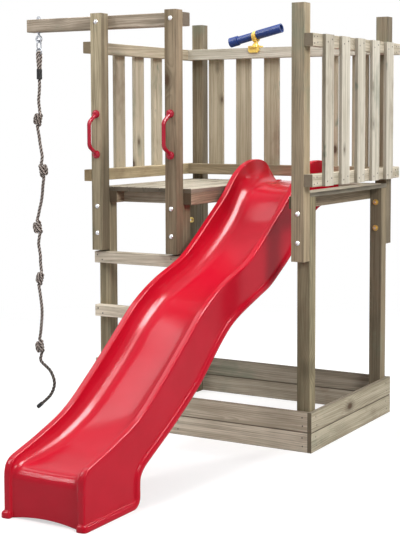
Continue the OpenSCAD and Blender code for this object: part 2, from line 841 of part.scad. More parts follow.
module bolt_nuts() {
    color(zinc_yellow) placed() for (place = bolt_places) along_bolt(place) translate([0, 0, clamped])
        difference() {
            union() {
                cylinder(h = washer_t, d = washer_d);
                translate([0, 0, washer_t]) cylinder(h = nut_h, d = nut_flats / cos(30), $fn = 6);
            }
            translate([0, 0, -1]) cylinder(h = washer_t + nut_h + 2, d = bolt_d + 2 * pin_clear);
        }
}

for (i = [0:4]) {
    lower_post(i);
    upper_post(i);
}
for (k = [0:1]) {
    sand_across(post - board_t, k);
    sand_across(y_rear, k);
    sand_side(-board_t, k);
    sand_side(tower_w, k);
    side_rail(-rail_t, k);
    side_rail(tower_w, k);
    back_rail(k);
}
for (i = [1:deck_count + side_deck_count])
    deck_board(i - 1);
rear_deck_board();  // deck_board_rear
joist(0);  // joist_a
joist(1);  // joist_b
joist(2);  // joist_c
bearer(post + rail_t, 2 * post, ladder_bay + post - rail_t);  // bearer_front
bearer(post + rail_t, y_rear - rail_t, ladder_bay + post - rail_t);  // bearer_rear_left
bearer(deck_left_w, y_rear - rail_t, x_c - rail_t - deck_left_w);  // bearer_rear_right
for (i = [1:steps])
    step(i - 1);
side_slat_row(-rail_t - slat_t);  // slats_left
side_slat_row(tower_w + rail_t);  // slats_right
back_slat_row();  // slats_back
rope_arm();
slide();
grip(0);  // grip_a
grip(1);  // grip_b
scope_base();
scope_yoke();
scope_band();
scope_tube();
rope_hanger();
rope_link();
rope_ring();
rope_sleeves();
rope();
coach_bolts();
bolt_nuts();
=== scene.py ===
import math

import bpy
import numpy as np
from mathutils import Matrix, Vector


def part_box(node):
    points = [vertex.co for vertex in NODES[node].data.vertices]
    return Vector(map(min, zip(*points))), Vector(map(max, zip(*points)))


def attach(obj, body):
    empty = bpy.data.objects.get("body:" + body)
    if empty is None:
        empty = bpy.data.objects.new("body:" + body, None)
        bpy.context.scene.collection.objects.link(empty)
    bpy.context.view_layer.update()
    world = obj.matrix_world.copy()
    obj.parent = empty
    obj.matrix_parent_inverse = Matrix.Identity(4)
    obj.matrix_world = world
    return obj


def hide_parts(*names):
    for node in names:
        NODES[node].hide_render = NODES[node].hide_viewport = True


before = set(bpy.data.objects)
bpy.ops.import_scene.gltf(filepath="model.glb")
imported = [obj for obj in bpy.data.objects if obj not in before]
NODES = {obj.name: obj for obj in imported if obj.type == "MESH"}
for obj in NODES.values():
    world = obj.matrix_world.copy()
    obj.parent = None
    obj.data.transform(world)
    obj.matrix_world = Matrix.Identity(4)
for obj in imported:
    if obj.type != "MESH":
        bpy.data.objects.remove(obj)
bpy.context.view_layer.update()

# Places
# Lengths are in metres. The tower's front left corner, on the ground, is where at() measures from.
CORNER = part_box("post_upper_a")[0]


def at(x, y, z):
    """A point measured from the tower's front left corner."""
    return np.array([CORNER[0] + x, CORNER[1] + y, z])


def side(node, axis, end):
    """Coordinate of a node's low (0) or high (1) side along an axis."""
    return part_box(node)[end][axis]


def middle(node):
    """Middle of a node's box."""
    low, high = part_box(node)
    return [(a + b) / 2 for a, b in zip(low, high)]


# Camera
# Frame, focal length and optical axis in pixels, place from the tower's corner, angles in degrees
FRAME_W, FRAME_H = 400, 539
FOCAL_PX = 1267.5
AXIS_PX = (203.2, 215.6)
CAMERA_AT = (3.849, -5.425, 1.627)
CAMERA_YAW = 30.32
CAMERA_PITCH = 4.44
CAMERA_ROLL = -0.18
SENSOR_MM = 36.0
VIEW_REACH = 200.0


def make_camera():
    """The scene's camera, turned left, tilted down and rolled a little."""
    data = bpy.data.cameras.new("camera")
    data.sensor_width = SENSOR_MM
    data.lens = FOCAL_PX * SENSOR_MM / FRAME_H
    data.shift_x = (FRAME_W / 2 - AXIS_PX[0]) / FRAME_H
    data.shift_y = (AXIS_PX[1] - FRAME_H / 2) / FRAME_H
    data.clip_end = VIEW_REACH
    camera = bpy.data.objects.new("camera", data)
    turn = Matrix.Rotation(math.radians(CAMERA_YAW), 4, "Z")
    tilt = Matrix.Rotation(math.radians(90 - CAMERA_PITCH), 4, "X")
    roll = Matrix.Rotation(math.radians(CAMERA_ROLL), 4, "Z")
    camera.matrix_world = Matrix.Translation(at(*CAMERA_AT)) @ turn @ tilt @ roll
    bpy.context.scene.collection.objects.link(camera)
    bpy.context.scene.camera = camera


make_camera()


# Meshes
def make_object(name, points, faces, smooth_angle=40):
    """An object from points and faces, smooth shaded below an angle in degrees. Unused points go."""
    used = sorted({k for face in faces for k in face})
    place = {k: i for i, k in enumerate(used)}
    mesh = bpy.data.meshes.new(name)
    mesh.from_pydata([tuple(points[k]) for k in used], [], [[place[k] for k in face] for face in faces])
    mesh.update()
    for polygon in mesh.polygons:
        polygon.use_smooth = True
    mesh.set_sharp_from_angle(angle=math.radians(smooth_angle))
    piece = bpy.data.objects.new(name, mesh)
    bpy.context.scene.collection.objects.link(piece)
    return piece


def grid_faces(rows, columns, wrap=False):
    """Quads of a grid of points stored row by row."""
    faces = []
    for i in range(rows - 1):
        for j in range(columns if wrap else columns - 1):
            k = (j + 1) % columns
            a, b = i * columns, (i + 1) * columns
            faces.append((a + j, a + k, b + k, b + j))
    return faces


def round_angles(count):
    """Even angles round a circle."""
    return np.arange(count) / count * 2 * np.pi


# Rope
# Its route is the solid's, from the eye's hidden end round the ring and down to the free end.
# The knots are drawn tighter than the solid's, and a little tilted.
ROPE_D = 0.016
RING_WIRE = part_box("rope_ring")[1][1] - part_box("rope_ring")[0][1]
ROPE_X, ROPE_Y = middle("rope_ring")[:2]
SLEEVE_LEN = 0.054
SLEEVE_TOP = side("rope_sleeves", 2, 1)
SLEEVE_BOTTOM = SLEEVE_TOP - SLEEVE_LEN
# The eye lies in the ring with a little play, and its legs press together in the sleeve
EYE_PLAY, EYE_GAP, LEG_PRESS = 0.003, 0.0003, 0.0006
LOOP_R = ROPE_D / 2 + RING_WIRE / 2 + EYE_PLAY
LOOP_TOP = side("rope_ring", 2, 0) + RING_WIRE + ROPE_D / 2 + EYE_GAP
LOOP_LEG = ROPE_D / 2 - LEG_PRESS
LOOP_STRAIGHT = 0.004
# Runs between knots and knot centres as (sideways, height), the heights for a start at RUN_START
RUN_START = 1.835
RUN_SHARE = SLEEVE_BOTTOM / RUN_START
ROPE_RUNS = [
    [(0, 1.835), (0, 1.800), (-0.003, 1.760), (-0.007, 1.718)],
    [(-0.008, 1.530), (-0.002, 1.490), (0.006, 1.450), (0.012, 1.415)],
    [(0.014, 1.255), (0.010, 1.215), (0.002, 1.170), (-0.010, 1.130), (-0.018, 1.098)],
    [(-0.020, 0.940), (-0.015, 0.905), (-0.009, 0.870), (-0.009, 0.838)],
    [(-0.014, 0.660), (-0.008, 0.620), (-0.003, 0.575), (-0.004, 0.530), (-0.009, 0.485), (-0.014, 0.445)],
    [(-0.017, 0.295), (-0.004, 0.276), (0.020, 0.260), (0.046, 0.240), (0.066, 0.210), (0.076, 0.175),
     (0.070, 0.140), (0.050, 0.104), (0.020, 0.074), (-0.012, 0.048)],
]
KNOT_CENTRES = [(-0.009, 1.618), (0.014, 1.342), (-0.020, 1.027), (-0.013, 0.746), (-0.016, 0.366)]
# How each knot is turned about the rope and tilted, in degrees
KNOT_TURNS = [15, 200, 40, 350, 60]
KNOT_TILTS = [13, -11, -12, 14, -9]
# Shape of a knot in rope diameters: radius and pitch of its twist, length of its leads, depth of its bight
KNOT_RADIUS, KNOT_PITCH, KNOT_LEAD, KNOT_BIGHT = 0.72, 2.0, 1.0, 0.66
KNOT_ROUNDS, KNOT_POINTS = 1.5, 19
KNOT_HALF = KNOT_ROUNDS / 2 * KNOT_PITCH
LEAD_BOW, BIGHT_FULLNESS = 0.8, 0.7


def knot_strand(start):
    """One of the two twisted strands of a knot, from an angle in degrees on."""
    a = np.linspace(start, start + 360 * KNOT_ROUNDS, KNOT_POINTS)
    r = np.radians(a)
    height = KNOT_HALF - (a - start) / 360 * KNOT_PITCH
    return np.stack([KNOT_RADIUS * np.cos(r), KNOT_RADIUS * np.sin(r), height], 1)


def knot_path():
    """Overhand knot in rope diameters: a lead, two twisted strands with a bight between, a lead."""
    u = np.linspace(1, 0.25, 4)
    lead = np.stack([
        KNOT_RADIUS * (1 + np.cos(np.pi * u)) / 2,
        -LEAD_BOW * KNOT_RADIUS * np.sin(np.pi * u) * (1 - u),
        KNOT_HALF + KNOT_LEAD * u], 1)
    first, second = knot_strand(0), knot_strand(180)
    low, high = first[-1], second[0]
    a = np.radians(np.arange(15, 180, 15))
    bight = np.stack([
        low[0] - KNOT_BIGHT * np.sin(a) ** BIGHT_FULLNESS,
        low[1] * np.cos(a),
        low[2] + (high[2] - low[2]) * (1 - np.cos(a)) / 2], 1)
    return np.concatenate([lead, first, bight, second, lead[::-1] * [1, -1, -1]])


def placed_knot(i):
    """Points of one knot, turned, tilted and put in its place."""
    knot = ROPE_D * knot_path()
    a, b = math.radians(KNOT_TURNS[i]), math.radians(KNOT_TILTS[i])
    x = knot[:, 0] * math.cos(a) - knot[:, 1] * math.sin(a)
    y = knot[:, 0] * math.sin(a) + knot[:, 1] * math.cos(a)
    z = knot[:, 2] * math.cos(b) - x * math.sin(b)
    x = x * math.cos(b) + knot[:, 2] * math.sin(b)
    sideways, height = KNOT_CENTRES[i]
    return np.stack([ROPE_X + sideways + x, ROPE_Y + y, RUN_SHARE * height + z], 1)


def rope_points():
    """Points of the whole rope that its curve runs through."""
    bend_z = LOOP_TOP - LOOP_R
    leg_z = SLEEVE_TOP + LOOP_STRAIGHT
    down = []
    for u in np.linspace(0.2, 1, 5):
        s = u * u * (3 - 2 * u)
        down.append((LOOP_R + (LOOP_LEG - LOOP_R) * s, bend_z + (leg_z - bend_z) * u))
    down.append((LOOP_LEG, SLEEVE_TOP))
    points = [(ROPE_X, ROPE_Y - y, z) for y, z in reversed(down)]
    points += [(ROPE_X, ROPE_Y + LOOP_R * math.cos(a), bend_z + LOOP_R * math.sin(a))
               for a in np.radians(np.arange(180, -1, -15))]
    points += [(ROPE_X, ROPE_Y + y, z) for y, z in down]
    for i, run in enumerate(ROPE_RUNS):
        points += [(ROPE_X + x, ROPE_Y, RUN_SHARE * z) for x, z in run]
        if i < len(KNOT_CENTRES):
            points += list(placed_knot(i))
    return np.array(points)


def smooth_line(points, step):
    """Evenly spaced points on a smooth curve through the given ones."""
    ends = np.concatenate([[2 * points[0] - points[1]], points, [2 * points[-1] - points[-2]]])
    fine = []
    for a, b, c, d in zip(ends[:-3], ends[1:-2], ends[2:-1], ends[3:]):
        for t in np.arange(0, 1, 0.1):
            fine.append(0.5 * (2 * b + (c - a) * t + (2 * a - 5 * b + 4 * c - d) * t ** 2
                               + (3 * b - a - 3 * c + d) * t ** 3))
    fine.append(points[-1])
    fine = np.array(fine)
    run = np.concatenate([[0], np.cumsum(np.linalg.norm(np.diff(fine, axis=0), axis=1))])
    want = np.linspace(0, run[-1], int(run[-1] / step) + 1)
    return np.stack([np.interp(want, run, fine[:, k]) for k in range(3)], 1), run[-1]


def carried_normals(line):
    """Tangents and normals along a line, the normals carried without twist."""
    tangents = np.gradient(line, axis=0)
    tangents /= np.linalg.norm(tangents, axis=1)[:, None]
    normals = [np.cross(tangents[0], [1.0, 0, 0])]
    for t in tangents[1:]:
        n = normals[-1] - t * (normals[-1] @ t)
        normals.append(n / np.linalg.norm(n))
    normals[0] /= np.linalg.norm(normals[0])
    return tangents, np.array(normals)


STRANDS = 3
ROPE_SIDES = 24
ROPE_STEP = 0.003
# Length in which a strand goes once round
ROPE_LAY = 0.060
# Share of the rope's radius in the grooves, what the strands add to it, and how round they are
GROOVE_SHARE, STRAND_SHARE, STRAND_POWER = 0.72, 0.39, 0.7


def make_rope():
    """Three-strand laid rope: a lobed outline that turns along the route."""
    line, length = smooth_line(rope_points(), ROPE_STEP)
    tangents, normals = carried_normals(line)
    sides = np.cross(tangents, normals)
    round_angle = round_angles(ROPE_SIDES)
    points, depth = [], []
    for i, (p, n, s) in enumerate(zip(line, normals, sides)):
        lay = i * length / (len(line) - 1) / ROPE_LAY * 2 * np.pi
        crown = np.abs(np.cos((round_angle - lay) * STRANDS / 2))
        radius = ROPE_D / 2 * (GROOVE_SHARE + STRAND_SHARE * crown ** STRAND_POWER)
        points += [p + r * (math.cos(a) * n + math.sin(a) * s) for a, r in zip(round_angle, radius)]
        depth += list(crown)
    faces = grid_faces(len(line), ROPE_SIDES, wrap=True)
    last = (len(line) - 1) * ROPE_SIDES
    faces.append(tuple(range(ROPE_SIDES - 1, -1, -1)))
    faces.append(tuple(range(last, last + ROPE_SIDES)))
    rope = make_object("climbing_rope_laid", points, faces, smooth_angle=80)
    crown = rope.data.attributes.new("crown", "FLOAT", "POINT")
    crown.data.foreach_set("value", np.array(depth, np.float32))
    return rope, line, length


rope, rope_line, rope_length = make_rope()
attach(rope, "climbing_rope")
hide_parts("rope")


# Slide
# One moulded skin, in millimetres. Its edge, floor and foot are (distance from the toe, height).
EDGE = [(0, 190), (20, 238), (70, 255), (225, 301), (412, 372), (600, 497), (785, 635), (950, 760),
        (1130, 851), (1370, 934), (1470, 990), (1642, 1107), (1800, 1218), (1930, 1328), (2030, 1378),
        (2145, 1398), (2260, 1378), (2325, 1322), (2380, 1279), (2447, 1275)]
FLOOR = [(0, 150), (12, 190), (30, 203), (190, 228), (330, 259), (490, 325), (625, 408), (785, 520),
         (950, 650), (1125, 752), (1262, 800), (1435, 863), (1642, 972), (1800, 1079), (1930, 1203),
         (2000, 1242), (2080, 1264), (2160, 1270), (2447, 1270)]
FOOT = [(387, 138), (429, 167), (523, 217), (629, 273), (755, 346), (886, 430), (976, 503), (1069, 580),
        (1164, 647), (1262, 692), (1466, 760), (1572, 796), (1681, 854), (1788, 917), (1930, 1030),
        (2000, 1085), (2080, 1130), (2170, 1160), (2300, 1180), (2447, 1190)]
SHELL = 4.5
WALL_X = 201.0
EDGE_W, EDGE_R = 34.0, 8.0
# How far the wall's foot lies out and, by its lean, in. Walls lower than LEAN_HEIGHT lean less.
WALL_OUT, WALL_LEAN, LEAN_HEIGHT = 1.0, 14.0, 100.0
# Radius between floor and wall, and the share of the wall that it may take
FLOOR_FILLET, FILLET_MOST = 95.0, 0.95
FLOOR_DISH = 3.0
# Points across a row: floor, fillet, rounded edge, and shares of the straight parts between
FLOOR_POINTS, FILLET_POINTS, EDGE_POINTS = 10, 9, 7
THIRDS = (0.33, 0.67)
# Toe: its front is set back and arched, and from the height TOE_TOP it bends back up to TOE_BEND
TOE_RECESS, TOE_ARCH = 12.0, 16.0
TOE_LEN, TOE_CORNER = 387.0, 47.0
TOE_TOP, TOE_BEND = 150, 60.0
TOE_LEVELS = [55, 75, 95, 115, 133, TOE_TOP]
FLOOR_BEND = [(TOE_RECESS, 186), (34, 203)]
EDGE_BEND = [(0, 216), (16, 239)]
# Back of the toe: heights of its points, then a curve into the rising edge of the skirt
TOE_BACK = [60, 75, 90, 104]
TOE_RISE = [(TOE_LEN, TOE_BACK[-1]), (TOE_LEN, 132), (404, 150), FOOT[1]]
RISE_START, RISE_STEP = 440, 12
# Points of the skirt's edge along the ground and in that curve, and degrees between points of the corner
GROUND_POINTS, CURVE_POINTS, CORNER_STEP = 34, 10, 9
SKIRT_END = 2398.0
SKIRT_SHARES = (0.1, 0.35, 0.65, 0.9)
DECK_TOP, DECK_GAP = 1265.0, 0.5
# Distance between rows, and rows at which the skirt's foot is tied to a place on its edge
ROW_STEP, LAST_STEP, BEND_ROWS = 14, 8, 12
BEND_RUN, CORNER_ROW = 190.0, 260
RISE_ROW, RISE_FOOT = 420, 425
EVEN_ROWS = (520, 700, 1000, 1300, 1600, 1900, 2200)
# How far to each side the direction of the skirt's edge is taken
EDGE_REACH = 4
# Flare of the lip: (distance in from the edge, how far out)
LIP_BAND = 36.0
LIP = [(36, 0), (32, 0.4), (29, 2.0), (27, 4.5), (25, 7.6), (22, 10.4), (18, 12.2), (12, 13), (3, 13),
       (0, 12)]


def through(table, u):
    """Height at a distance, on a smooth curve through the given points."""
    i = next((k for k in range(len(table) - 2) if u < table[k + 1][0]), len(table) - 2)

    def slope(k):
        a, b = table[max(k - 1, 0)], table[min(k + 1, len(table) - 1)]
        return (b[1] - a[1]) / (b[0] - a[0])

    (x0, y0), (x1, y1) = table[i], table[i + 1]
    w = x1 - x0
    t = (u - x0) / w
    s = t * t * (3 - 2 * t)
    return y0 + (y1 - y0) * s + w * t * (1 - t) * ((1 - t) * slope(i) - t * slope(i + 1))


def bezier(a, b, c, d, count):
    """Points after the first of a cubic curve."""
    t = np.linspace(0, 1, count + 1)[1:, None]
    a, b, c, d = (np.array(p, float) for p in (a, b, c, d))
    return (1 - t) ** 3 * a + 3 * t * (1 - t) ** 2 * b + 3 * t ** 2 * (1 - t) * c + t ** 3 * d


def half_row(height, flare=0.0):
    """Right half of a row: (sideways, up from the floor) from the middle to the outer side of the edge.
    A flare pushes the top and the outer corner of the edge out."""
    inner, outer = WALL_X - EDGE_W + EDGE_R, WALL_X - EDGE_R
    level = height - EDGE_R
    lean = WALL_LEAN * min(1, height / LEAN_HEIGHT)
    foot = np.array([WALL_X - EDGE_W + WALL_OUT - lean, 0.0])
    to_centre = np.array([inner, level]) - foot
    far = np.linalg.norm(to_centre)
    reach = math.sqrt(max(far ** 2 - EDGE_R ** 2, 1))
    angle = math.atan2(to_centre[1], to_centre[0]) + math.asin(min(EDGE_R / far, 1))
    fillet = min(FLOOR_FILLET, FILLET_MOST * reach / math.tan(angle / 2))
    start = foot[0] - fillet * math.tan(angle / 2)
    row = [(x, -FLOOR_DISH * (1 - (x / start) ** 2)) for x in np.linspace(0, start, FLOOR_POINTS)[:-1]]
    row += [(start + fillet * math.sin(a), fillet * (1 - math.cos(a)))
            for a in np.linspace(0, angle, FILLET_POINTS)]
    touch = foot + reach * np.array([math.cos(angle), math.sin(angle)])
    bend = np.array(row[-1])
    row += [tuple(bend + (touch - bend) * t) for t in THIRDS]
    for k, a in enumerate(np.linspace(angle + math.pi / 2, math.pi / 2, EDGE_POINTS)):
        r = EDGE_R + flare * k / (EDGE_POINTS - 1)
        row.append((inner + r * math.cos(a), level + r * math.sin(a)))
    row += [(inner + (outer - inner) * t, height + flare) for t in THIRDS]
    row += [(outer + (EDGE_R + flare) * math.cos(a), level + (EDGE_R + flare) * math.sin(a))
            for a in np.linspace(math.pi / 2, 0, EDGE_POINTS)]
    return row


def skirt_edge():
    """Lower edge of a skirt, from the toe's front along the ground, up the toe's back and up the slide."""
    turn = TOE_LEN - TOE_CORNER
    line = [(u, 0.0) for u in np.linspace(EDGE_R, turn, GROUND_POINTS)]
    line += [(turn + TOE_CORNER * math.sin(a), TOE_CORNER * (1 - math.cos(a)))
             for a in np.radians(np.arange(CORNER_STEP, 91, CORNER_STEP))]
    corner = len(line) - 1
    line += [(TOE_LEN, z) for z in TOE_BACK]
    line += [tuple(p) for p in bezier(*TOE_RISE, CURVE_POINTS)]
    line += [(u, through(FOOT, u)) for u in np.arange(RISE_START, SKIRT_END, RISE_STEP)]
    line.append((SKIRT_END, through(FOOT, SKIRT_END)))
    return np.array(line), corner


def slide_rows():
    """Floor point, edge point and skirt edge of each row, and the number of rows below the lip's end."""
    levels = [deep for deep, _ in reversed(LIP)] + TOE_LEVELS
    floors = [np.array([TOE_RECESS, z]) for z in levels]
    edges = [np.array([0.0, z]) for z in levels]
    for points, u, curve, table in ((floors, TOE_RECESS, FLOOR_BEND, FLOOR), (edges, 0, EDGE_BEND, EDGE)):
        points += list(bezier((u, TOE_TOP), *curve, (TOE_BEND, through(table, TOE_BEND)), BEND_ROWS))
    below = len(LIP) - 1
    bend = len(floors) - 1
    length = EDGE[-1][0]
    stations = list(np.arange(TOE_BEND + ROW_STEP, length - LAST_STEP, ROW_STEP)) + [length]
    floors += [np.array([u, through(FLOOR, u)]) for u in stations]
    edges += [np.array([u, through(EDGE, u)]) for u in stations]
    feet = skirt_feet(edges, below, bend, stations)
    return floors, edges, feet, below


def skirt_feet(edges, below, bend, stations):
    """Place of each row's foot on the skirt's edge, the way in from there and how much of the lip it has."""
    line, corner = skirt_edge()
    run = np.concatenate([[0], np.cumsum(np.linalg.norm(np.diff(line, axis=0), axis=1))])
    rising = corner + len(TOE_BACK) + 1

    def row_at(u):
        return bend + int(np.searchsorted([TOE_BEND] + stations, u))

    def run_at(u):
        return float(np.interp(u, line[rising:, 0], run[rising:]))

    def edge_at(s):
        s = min(max(s, 0), run[-1])
        return np.array([np.interp(s, run, line[:, k]) for k in range(2)])

    ties = [(below, 0.0), (bend, BEND_RUN), (row_at(CORNER_ROW), run[corner])]
    ties.append((row_at(RISE_ROW), run_at(RISE_FOOT)))
    ties += [(row_at(u), run_at(u)) for u in EVEN_ROWS]
    ties.append((row_at(SKIRT_END), run[-1]))
    feet = []
    for i, edge in enumerate(edges):
        if edge[0] > SKIRT_END:
            feet.append((np.array([edge[0], DECK_TOP + DECK_GAP]), np.array([0.0, 1.0]), 0.0))
            continue
        s = float(np.interp(i, [row for row, _ in ties], [place for _, place in ties]))
        ahead, back = edge_at(s + EDGE_REACH), edge_at(s - EDGE_REACH)
        t = (ahead - back) / np.linalg.norm(ahead - back)
        feet.append((edge_at(s), np.array([-t[1], t[0]]), 1.0))
    return feet


def weld(points, faces):
    """Joins points that lie on each other and drops what collapses."""
    first = {}
    same = [first.setdefault(tuple(np.round(p, 6)), k) for k, p in enumerate(points)]
    joined = []
    for face in faces:
        face = list(dict.fromkeys(same[k] for k in face))
        if len(face) > 2:
            joined.append(face)
    return joined


def make_slide():
    """The whole skin, its wall thickness given by a modifier."""
    floors, edges, feet, below = slide_rows()
    flares = [out for _, out in reversed(LIP)]
    rows = []
    inner = WALL_X - EDGE_W
    for i, (floor, edge, (foot, inward, lip)) in enumerate(zip(floors, edges, feet)):
        height = np.linalg.norm(edge - floor)
        up = (edge - floor) / height
        row = []
        for x, n in half_row(height, flares[i] if i < below else 0.0):
            p = floor + n * up
            if floor[1] < TOE_TOP and x < inner:
                p = p + np.array([0, TOE_ARCH * (1 - (x / inner) ** 2) * (1 - floor[1] / TOE_TOP)])
            row.append((x, p[0], p[1]))
        shell = len(row) - 1
        top = np.array(row[-1][1:])
        band = foot + LIP_BAND * lip * inward
        row += [(WALL_X, *(top + (band - top) * t)) for t in SKIRT_SHARES]
        row += [(WALL_X + out * lip, *(foot + deep * lip * inward)) for deep, out in LIP]
        rows.append([(-x, u, z) for x, u, z in reversed(row[1:])] + row)
    half = len(row) - 1
    left, toe = middle("slide")[0], side("slide", 1, 0)
    points = [(left + x / 1000, toe + u / 1000, z / 1000) for row in rows for x, u, z in row]
    columns = 2 * half + 1
    faces = []
    for k, face in enumerate(grid_faces(len(rows), columns)):
        i, j = divmod(k, columns - 1)
        if i >= below or abs(j + 0.5 - half) < shell:
            faces.append(face)
    piece = make_object("slide_shell", points, weld(points, faces), smooth_angle=50)
    thick = piece.modifiers.new("wall", "SOLIDIFY")
    thick.thickness = SHELL / 1000
    thick.offset = -1.0
    return piece


slide = make_slide()
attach(slide, "tower")
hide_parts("slide")


# Nails
# Small flat-domed heads where slats, rails, steps and boards are fixed
NAIL_R, NAIL_SIDES = 0.0045, 10
# A head is let in, rises to its brow and on to its top
NAIL_SUNK, NAIL_BROW, NAIL_TOP, BROW_SHARE = 0.0006, 0.0008, 0.0013, 0.85
SLAT_W = 0.095
SIDE_SLATS, BACK_SLATS, DECK_BOARDS = 5, 6, 7
# Where the heads lie, from the middle of the joint: a slat's slanting pair, then (aside, up)
SLAT_NAIL, SLAT_SLANT = 0.024, 0.3
RAIL_NAILS = ((-0.018, 0.014), (0.016, 0.016), (0.020, -0.013), (-0.015, -0.017))
STEP_NAILS = ((-0.016, 0.012), (0.014, -0.013))
SAND_NAILS = ((0.006, 0.022), (0.008, -0.020))
SAND_SIDE_NAILS = ((-0.006, 0.023), (0.005, -0.021))
# In from a deck board's ends, and to each side of its middle
DECK_NAIL_IN, DECK_NAIL_ASIDE = 0.022, 0.026


def nail_head(place, facing):
    """Points and faces of one head on a face that looks along an axis."""
    axis = int(np.argmax(np.abs(facing)))
    a, b = [np.eye(3)[k] for k in range(3) if k != axis]
    if np.dot(np.cross(a, b), facing) < 0:
        a, b = b, a
    ring = [NAIL_R * (math.cos(t) * a + math.sin(t) * b) for t in round_angles(NAIL_SIDES)]
    rim = [place - NAIL_SUNK * facing + p for p in ring]
    brow = [place + NAIL_BROW * facing + BROW_SHARE * p for p in ring]
    points = rim + brow + [place + NAIL_TOP * facing]
    top = len(points) - 1
    faces = grid_faces(2, NAIL_SIDES, wrap=True)
    faces += [(NAIL_SIDES + k, NAIL_SIDES + (k + 1) % NAIL_SIDES, top) for k in range(NAIL_SIDES)]
    faces.append(tuple(range(NAIL_SIDES - 1, -1, -1)))
    return points, faces


def slat_middles(node, axis, count):
    """Middles of the slats of a row, along it."""
    return np.linspace(side(node, axis, 0) + SLAT_W / 2, side(node, axis, 1) - SLAT_W / 2, count)


def nail_places():
    """Every head: its place and the way its face looks."""
    heads = []

    def put(axis, sign, x, y, z):
        facing = np.zeros(3)
        facing[axis] = sign
        heads.append((np.array([x, y, z]), facing))

    back_y = side("slats_back", 1, 1)
    for level in ("lower", "upper"):
        z = middle(f"rail_right_{level}")[2]
        for node, end, sign in (("slats_right", 1, 1), ("slats_left", 0, -1)):
            for y in slat_middles(node, 1, SIDE_SLATS):
                for d in (-SLAT_NAIL, SLAT_NAIL):
                    put(0, sign, side(node, 0, end), y + d, z + SLAT_SLANT * d)
        for x in slat_middles("slats_back", 0, BACK_SLATS):
            for d in (-SLAT_NAIL, SLAT_NAIL):
                put(1, 1, x + d, back_y, z - SLAT_SLANT * d)
        for node, end, sign in ((f"rail_right_{level}", 1, 1), (f"rail_left_{level}", 0, -1)):
            for post in ("post_upper_c", "post_upper_d"):
                for dy, dz in RAIL_NAILS:
                    put(0, sign, side(node, 0, end), middle(post)[1] + dy, z + dz)
    for step in ("step_1", "step_2", "step_3"):
        for post in ("post_lower_a", "post_lower_b"):
            for dx, dz in STEP_NAILS:
                put(1, -1, middle(post)[0] + dx, side(step, 1, 0), middle(step)[2] + dz)
    for level in ("lower", "upper"):
        for name, posts, end, sign in (("front", "abc", 0, -1), ("rear", "de", 1, 1)):
            node = f"sand_{name}_{level}"
            for post in posts:
                for dx, dz in SAND_NAILS:
                    x = middle(f"post_lower_{post}")[0] + dx
                    put(1, sign, x, side(node, 1, end), middle(node)[2] + dz)
        for node, end, sign in ((f"sand_left_{level}", 0, -1), (f"sand_right_{level}", 1, 1)):
            for post in ("post_lower_c", "post_lower_d"):
                for dy, dz in SAND_SIDE_NAILS:
                    put(0, sign, side(node, 0, end), middle(post)[1] + dy, middle(node)[2] + dz)
    for i in range(1, DECK_BOARDS + 1):
        node = f"deck_board_{i}"
        for y in (side(node, 1, 0) + DECK_NAIL_IN, side(node, 1, 1) - DECK_NAIL_IN):
            for dx in (-DECK_NAIL_ASIDE, DECK_NAIL_ASIDE):
                put(2, 1, middle(node)[0] + dx, y, side(node, 2, 1))
    return heads


def make_nails():
    """All the heads as one piece."""
    points, faces = [], []
    for place, facing in nail_places():
        p, f = nail_head(place, facing)
        faces += [tuple(len(points) + k for k in face) for face in f]
        points += p
    return make_object("nail_heads", points, faces, smooth_angle=60)


nails = make_nails()
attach(nails, "tower")


# Telescope glass
# A bulged lens in each end of the tube
SCOPE_TILT = math.radians(12.5)
SCOPE_LEN, SCOPE_RISE = 0.336, 0.070
SCOPE_MIDDLE = np.array([middle("scope_base")[0], middle("rail_back_upper")[1],
                         side("rail_back_upper", 2, 1) + SCOPE_RISE])
LENS_R, LENS_DEPTH, LENS_BULGE, LENS_SIDES = 0.0189, 0.0115, 0.004, 24
# Rings of points on a lens, as shares of its radius
LENS_RINGS = [1.0, 0.85, 0.6, 0.3]


def make_lenses():
    """Both lenses as one piece."""
    along = np.array([math.cos(SCOPE_TILT), 0, math.sin(SCOPE_TILT)])
    across = np.array([0, 1.0, 0])
    up = np.cross(along, across)
    inner, top = LENS_SIDES * (len(LENS_RINGS) - 1), LENS_SIDES * len(LENS_RINGS)
    lens = grid_faces(len(LENS_RINGS), LENS_SIDES, wrap=True)
    lens += [(inner + k, inner + (k + 1) % LENS_SIDES, top) for k in range(LENS_SIDES)]
    lens.append(tuple(range(LENS_SIDES - 1, -1, -1)))
    points, faces = [], []
    for sign in (1, -1):
        faces += [tuple(len(points) + k for k in face[::sign]) for face in lens]
        base = SCOPE_MIDDLE + sign * along * (SCOPE_LEN / 2 - LENS_DEPTH)
        for share in LENS_RINGS:
            crown = base + sign * along * LENS_BULGE * (1 - share ** 2)
            points += [crown + share * LENS_R * (math.cos(t) * across + math.sin(t) * up)
                       for t in round_angles(LENS_SIDES)]
        points.append(base + sign * along * LENS_BULGE)
    return make_object("scope_lenses", points, faces, smooth_angle=50)


lenses = make_lenses()
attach(lenses, "scope_barrel")


# Materials
WHITE = (1.0, 1.0, 1.0)


